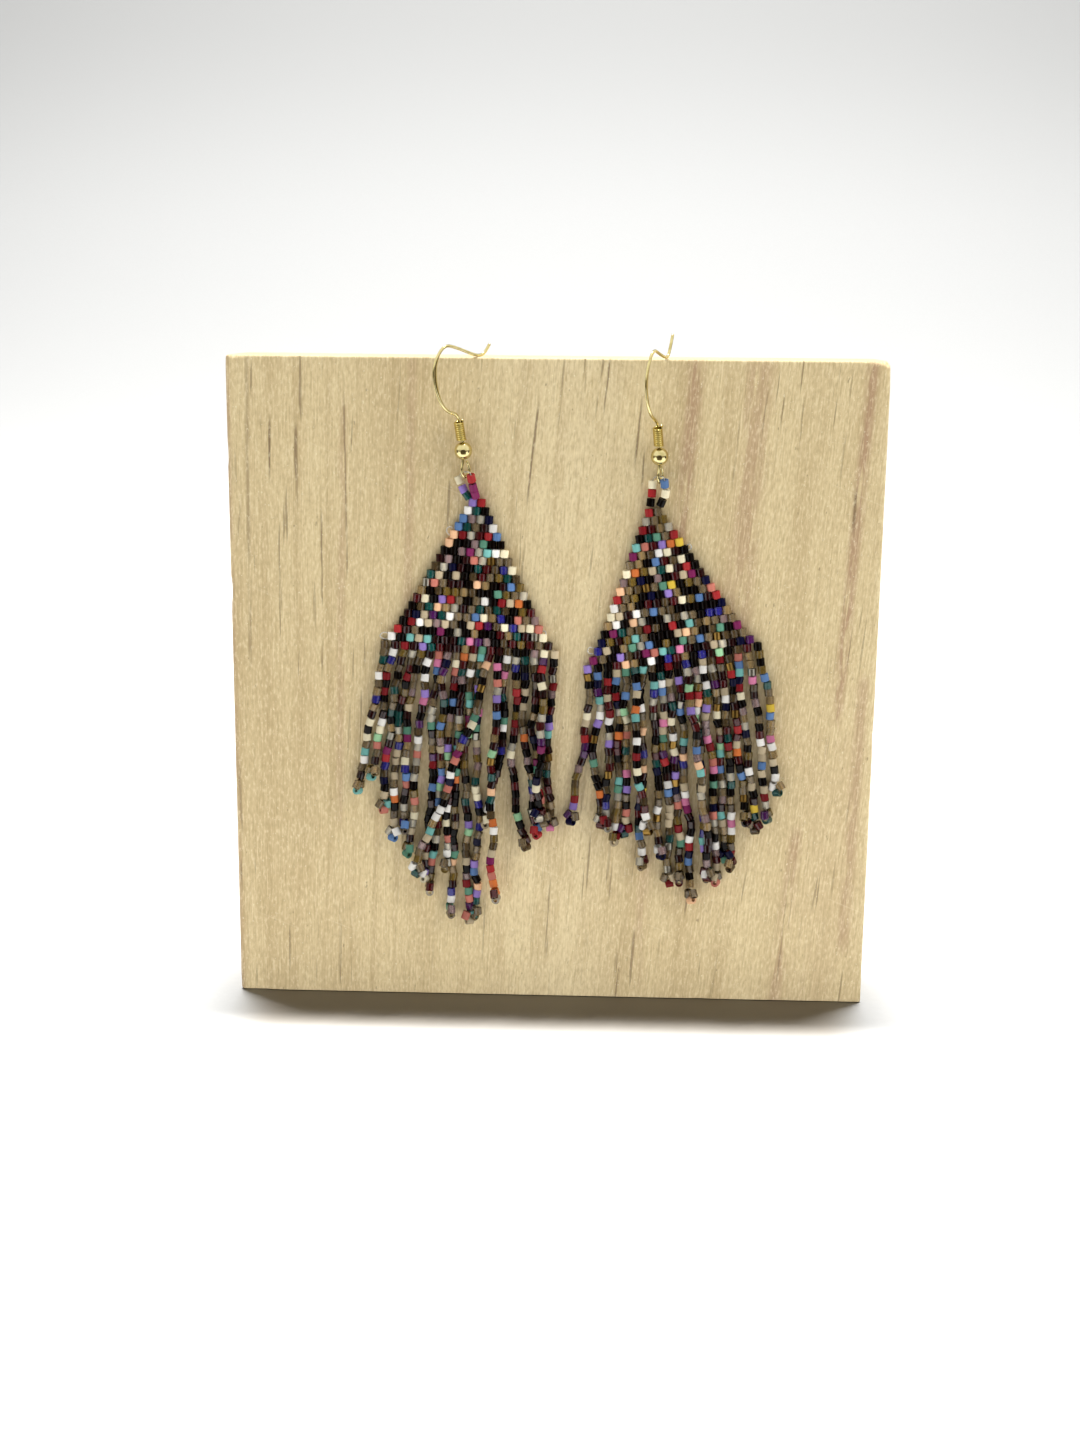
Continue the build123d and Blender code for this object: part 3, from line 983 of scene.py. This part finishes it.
def strand_courses(side):
    """One smooth course for each strand, from its base bead to the foot of its picot."""
    runs = []
    for place, (drop, high, low, tip, layer) in enumerate(earrings[side]["strands"]):
        across = (place - (base_beads - 1) / 2) * column_pitch
        base = woven_place(side, across, 0, 0.0)
        out = -layer * layer_step
        runs.append([woven_place(side, across, 0)] + [
            base + Vector((sideways * mm, out, -share * drop * mm))
            for sideways, share in ((high, high_share), (low, low_share), (tip, 1))
        ])
    return smooth_course(f"{side}_strand_courses", runs, 16)


tree, take = new_tree("Bead fringe", {
    "Courses": "Object", "Pitch": "Float", "Picot Height": "Float", "Picot Spread": "Float",
    "Wander": "Float", **bead_inputs,
})
whole = node("GeometryNodeSplineLength").outputs["Length"]
strings = out_of("GeometryNodeTrimCurve", {
    "Curve": shape_of(take["Courses"]), 5: figure("SUBTRACT", whole, take["Picot Height"]),
}, mode="LENGTH")
strings = out_of("GeometryNodeResampleCurve", {"Curve": strings, "Length": take["Pitch"]}, mode="LENGTH")
own_run = node("GeometryNodeCurveOfPoint").outputs["Curve Index"]
run_down = node("GeometryNodeSplineParameter").outputs["Length"]
loosened = product(band(figure("DIVIDE", run_down, settle_length), 0.0, 1.0), take["Wander"])
strays = []
for shift, share, middle in ((0.0, 1.0, 0.5), (50.0, 0.75, 0.62)):
    far = node("ShaderNodeTexNoise", {
        "Vector": out_of("GeometryNodeInputPosition"), "Scale": wander_marks, "Detail": 1.0,
        "W": figure("MULTIPLY_ADD", own_run, 7.31, shift),
    }, noise_dimensions="4D").outputs["Fac"]
    strays.append(product(figure("SUBTRACT", far, middle), product(loosened, share)))
strings = out_of("GeometryNodeSetPosition", {
    "Geometry": strings, "Offset": vector(strays[0], figure("MINIMUM", strays[1], 0.0)),
})
upward = out_of("ShaderNodeVectorMath", {
    0: out_of("GeometryNodeInputTangent"), "Scale": -1.0,
}, operation="SCALE")
not_base, not_foot = [
    out_of("FunctionNodeBooleanMath", {0: out_of("GeometryNodeCurveEndpointSelection", {
        "Start Size": start, "End Size": 1 - start,
    })}, operation="NOT")
    for start in (1, 0)
]
string_beads = set_beads(take, strings, upright(upward), not_base)

feet = store(strings, "upward", upward, "FLOAT_VECTOR")
feet = out_of("GeometryNodeDeleteGeometry", {"Geometry": feet, "Selection": not_foot}, domain="POINT")
feet = out_of("GeometryNodeCurveToPoints", {"Curve": feet}, mode="EVALUATED")
feet = store(feet, "picot_spin", chance(take["Seed"], 31, *picot_spins), "FLOAT")
tripled = node("GeometryNodeDuplicateElements", {"Geometry": feet, "Amount": 3}, domain="POINT").outputs
which = figure("SUBTRACT", tripled["Duplicate Index"], 1.0)
is_side = figure("ABSOLUTE", which)
is_across = figure("SUBTRACT", 1.0, is_side)
spun = stored("picot_spin")
hung = turned_on(upright(stored("upward", "FLOAT_VECTOR")), rotation(z=spun))
below = figure("ADD", product(is_side, -picot_side_drop), product(is_across, -picot_foot_drop))
own_place = out_of("FunctionNodeRotateVector", {
    0: vector(product(which, take["Picot Spread"]), 0.0, below), 1: hung,
})
clear_of_wall = product(figure("ABSOLUTE", figure("SINE", spun)), -picot_wall_room)
own_place = out_of("ShaderNodeVectorMath", {
    0: own_place, 1: vector(0.0, clear_of_wall),
}, operation="ADD")
picots = out_of("GeometryNodeSetPosition", {"Geometry": tripled["Geometry"], "Offset": own_place})
picots = store(picots, "chosen_shade", chance(take["Seed"], 41, *picot_shades), "FLOAT")
picot_lean = figure("ADD", product(which, -picot_splay), product(is_across, math.pi / 2))
picot_beads = set_beads(take, picots, turned_on(hung, rotation(y=picot_lean)))
finish_tree(together(picot_beads, string_beads))
fringe_tree = tree

for side, own in earrings.items():
    courses = strand_courses(side)
    fringe = add_piece(grown(f"{side}_fringe", fringe_tree, {
        "Courses": courses, "Pitch": strand_pitch, "Picot Height": picot_height,
        # Depth 0.82 is painted shade: the fringe's beads are darkened against the same beads in the weave.
        "Picot Spread": picot_spread, "Wander": wander_reach, "Looseness": 0.22, "Depth": 0.82,
        **bead_values, "Seed": own["seed"] + 5,
    }), crisp=bead_crisp)
    own["courses"] = courses
    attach(fringe, "root")
    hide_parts(f"{side}_beaded_fringe")
    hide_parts(f"{side}_beaded_fringe")
bpy.data.objects.remove(seed_bead)


# Thread
# Clear nylon beading thread, 0.2 mm thick. It runs through every strand and shows between the beads,
# crosses the hook's eye where the strings of the loop meet, and curls slack at the weave's edge.
thread_radius = 0.10 * mm
thread_sides = 6
curl_depth = 0.55 * mm
curl_ring = [(0, -0.5), (0.5, -0.45), (1.0, 0.0), (0.85, 0.5), (0.35, 0.6), (0, 0.35)]
earrings["left"]["bridge"] = [
    # sideways and up from the ball, depth in front of the face
    (-0.62, -4.9, 0.80), (-0.71, -4.2, 0.82), (-0.30, -3.75, 1.10), (0.94, -3.50, 2.05),
    (1.42, -4.0, 2.40), (1.44, -4.6, 2.35),
]
earrings["right"]["bridge"] = [
    (-1.10, -4.9, 0.80), (-1.08, -4.1, 0.82), (-0.75, -3.55, 1.05), (0.55, -3.30, 1.95),
    (0.92, -3.9, 2.33), (0.95, -4.5, 2.35),
]
earrings["left"]["curls"] = [
    # across and up from the middle of the base row, width, height
    (-3.9, 20.6, -1.2, 1.5), (-14.0, 1.4, -1.3, 1.2), (12.6, 3.6, 0.8, 0.9),
]
earrings["right"]["curls"] = [(-13.6, 3.2, -1.0, 1.2), (4.9, 19.0, 0.9, 1.0)]

nylon, tree, shader = new_material("clear_nylon_thread", {
    "Base Color": (0.80, 0.78, 0.72, 1), "Roughness": 0.25, "Transmission Weight": 0.5,
})
feed(shader, {"Normal": bumped(speckle(own_spot(), 4000.0), 0.2, 0.02 * mm)})

tree, take = new_tree("Run thread", {"Courses": "Object", "Radius": "Float", "Nylon": "Material"})
finish_tree(tube(shape_of(take["Courses"]), take["Radius"], thread_sides), take["Nylon"])
thread_tree = tree


def curl_course(side, across, up, width, height):
    """A small loop of slack thread standing out from the edge of the weave."""
    return [
        woven_place(side, (across + x * width) * mm, (up + z * height) * mm) - Vector((0, curl_depth * x, 0))
        for x, z in curl_ring
    ]


for side, own in earrings.items():
    bridge = smooth_course(f"{side}_bridge", [[ball_place(side, *point) for point in own["bridge"]]] + [
        curl_course(side, *curl) for curl in own["curls"]
    ])
    for name, course in ((f"{side}_strand_thread", own["courses"]), (f"{side}_loop_thread", bridge)):
        thread = add_piece(grown(name, thread_tree, {
            "Courses": course, "Radius": thread_radius, "Nylon": nylon,
        }))
        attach(thread, "root")
        bpy.data.objects.remove(course)


# Floor, light and camera
# Grey card laid flat and swept up behind, which lamps of its own burn out to white. The other lamps
# light the block and beadwork only, and a black flag, seen only in the gold, stands for the viewer.
card_half_width = 0.85
card_front, card_back, sweep_radius, card_top = -0.40, 1.3, 0.9, 2.6
sweep_steps = 16
card_drop = 0.05 * mm
sweep = [(card_front, 0.0), (card_back, 0.0)]
for step in range(1, sweep_steps + 1):
    angle = math.pi / 2 * step / sweep_steps
    sweep.append((card_back + sweep_radius * math.sin(angle), sweep_radius * (1 - math.cos(angle))))
sweep.append((card_back + sweep_radius, card_top))
card_mesh = new_mesh(
    "white_card", [(x, y, z - card_drop) for y, z in sweep for x in (-card_half_width, card_half_width)],
    [(2 * i, 2 * i + 1, 2 * i + 3, 2 * i + 2) for i in range(len(sweep) - 1)])
card_mesh.shade_smooth()
card, tree, shader = new_material("white_card", {"Roughness": 0.7})
spot = own_spot()
card_across, card_along, card_up = split(spot)
# Painted shadow: a brownish darker patch of card in front of and under the block's foot deepens the shadow
# the block casts there.
painted_foot_shadow = product(
    band(figure("ABSOLUTE", card_across), 58 * mm, 48 * mm),
    band(figure("ABSOLUTE", figure("ADD", card_along, 4 * mm)), 27 * mm, 19 * mm))
paper = tint((0.37, 0.37, 0.365, 1), (0.34, 0.34, 0.335, 1), speckle(spot, 700.0))
paper = tint(paper, (0.285, 0.262, 0.230, 1), painted_foot_shadow)
# Painted shade: the card is painted darker higher up the sweep, so the backdrop dims towards its top.
feed(shader, {"Base Color": tint(paper, (0.305, 0.305, 0.300, 1), band(card_up, 0.20, 0.52))})
card_mesh.materials.append(card)
floor = put("white_card", card_mesh)

world = bpy.data.worlds.new("soft_room")
bpy.context.scene.world = world
world.use_nodes = True
tree = world.node_tree
way = split(node("ShaderNodeTexCoord").outputs["Generated"])
path_seen = node("ShaderNodeLightPath").outputs
shone = tint((0.34, 0.30, 0.23, 1), (1.10, 1.08, 1.02, 1), band(way[2], 0.03, 0.24))
seen = tint((0.06, 0.06, 0.06, 1), shone, path_seen["Is Glossy Ray"])
feed(tree.nodes["Background"], {"Color": tint(seen, (0.93, 0.93, 0.92, 1), path_seen["Is Camera Ray"])})

dark_front, tree, shader = new_material("dark_front", {"Roughness": 0.9})
nap = speckle(own_spot(), 60.0)
feed(shader, {"Base Color": tint((0.07, 0.05, 0.03, 1), (0.04, 0.03, 0.015, 1), nap)})
front, floor_edge, flag_side = -0.17, -0.105, 0.30
flag_walls = [
    # the corners of each wall: in front, on the floor before it, to the left and to the right
    [(-0.12, front, 0), (0.12, front, 0), (0.12, front, 0.10), (0.06, front, 0.15),
     (-0.06, front, 0.15), (-0.12, front, 0.10)],
    [(-0.12, front, 0.001), (0.12, front, 0.001), (0.07, floor_edge, 0.001), (-0.07, floor_edge, 0.001)],
]
for x in (-flag_side, flag_side):
    flag_walls.append([(x, -0.12, 0), (x, 0.10, 0), (x, 0.10, 0.13), (x, -0.12, 0.13)])
flag_corners, flag_faces = [], []
for wall in flag_walls:
    flag_faces.append([len(flag_corners) + i for i in range(len(wall))])
    flag_corners += wall
flag_mesh = new_mesh("black_flag", flag_corners, flag_faces)
flag_mesh.materials.append(dark_front)
black_flag = put("black_flag", flag_mesh)
black_flag.visible_camera = black_flag.visible_diffuse = False
black_flag.visible_shadow = black_flag.visible_transmission = False

lamps = [
    # name, place, aim, width, height, power, what it does to the card
    ("card_left", (-0.22, 0.238, 2.0), (-0.05, 0.0, 0.0), 0.22, 0.13, 63.0, "INCLUDE"),
    ("card_middle", (0.0, 0.238, 2.0), (0.0, 0.0, 0.0), 0.22, 0.13, 62.0, "INCLUDE"),
    ("card_right", (0.22, 0.238, 2.0), (0.05, 0.0, 0.0), 0.22, 0.13, 61.0, "INCLUDE"),
    ("sweep_lamp", (0.0, 0.95, 1.30), (0.0, 1.60, 0.1), 1.60, 0.30, 9.2, "INCLUDE"),
    ("top_lamp", (0.0, 0.27, 2.0), (0.0, 0.0, 0.06), 0.60, 0.14, 60.0, "EXCLUDE"),
    ("right_lamp", (0.62, -0.32, 0.60), (0.0, 0.0, 0.08), 0.60, 0.60, 5.35, "EXCLUDE"),
    ("left_lamp", (-0.62, -0.32, 0.60), (0.0, 0.0, 0.08), 0.60, 0.60, 2.85, "EXCLUDE"),
    ("foot_lamp", (0.0, -0.0178, 0.0001), (0.0, -0.0178, 1.0), 0.1136, 0.0172, 0.0056, "EXCLUDE"),
]
unreflected = ("right_lamp", "left_lamp", "foot_lamp")
linked = {}
for effect in ("INCLUDE", "EXCLUDE"):
    linked[effect] = bpy.data.collections.new(f"card_{effect.lower()}")
    linked[effect].objects.link(floor)
    linked[effect].collection_objects[0].light_linking.link_state = effect
for name, place, aim, width, height, power, effect in lamps:
    light = bpy.data.lights.new(name, "AREA")
    light.shape = "RECTANGLE"
    light.size, light.size_y, light.energy = width, height, power
    lamp = put(name, light)
    lamp.location = place
    lamp.rotation_euler = (Vector(aim) - Vector(place)).to_track_quat("-Z", "Y").to_euler()
    lamp.visible_camera = False
    lamp.visible_glossy = name not in unreflected
    lamp.light_linking.receiver_collection = linked[effect]

camera_place = Vector((8.4, -332.2, 122.7)) * mm
yaw, dip, roll = math.radians(1.88), math.radians(12.34), math.radians(0.57)
camera_turn = (
    Matrix.Rotation(yaw, 4, "Z") @ Matrix.Rotation(math.pi / 2 - dip, 4, "X")
    @ Matrix.Rotation(roll, 4, "Z"))
camera_data = bpy.data.cameras.new("camera")
camera_data.sensor_fit = "VERTICAL"
camera_data.sensor_height = 36.0
camera_data.lens = 46.25
camera_data.clip_start = 0.01
camera = put("camera", camera_data)
camera.matrix_world = Matrix.Translation(camera_place) @ camera_turn
bpy.context.scene.camera = camera
bpy.context.scene.view_settings.view_transform = "Standard"
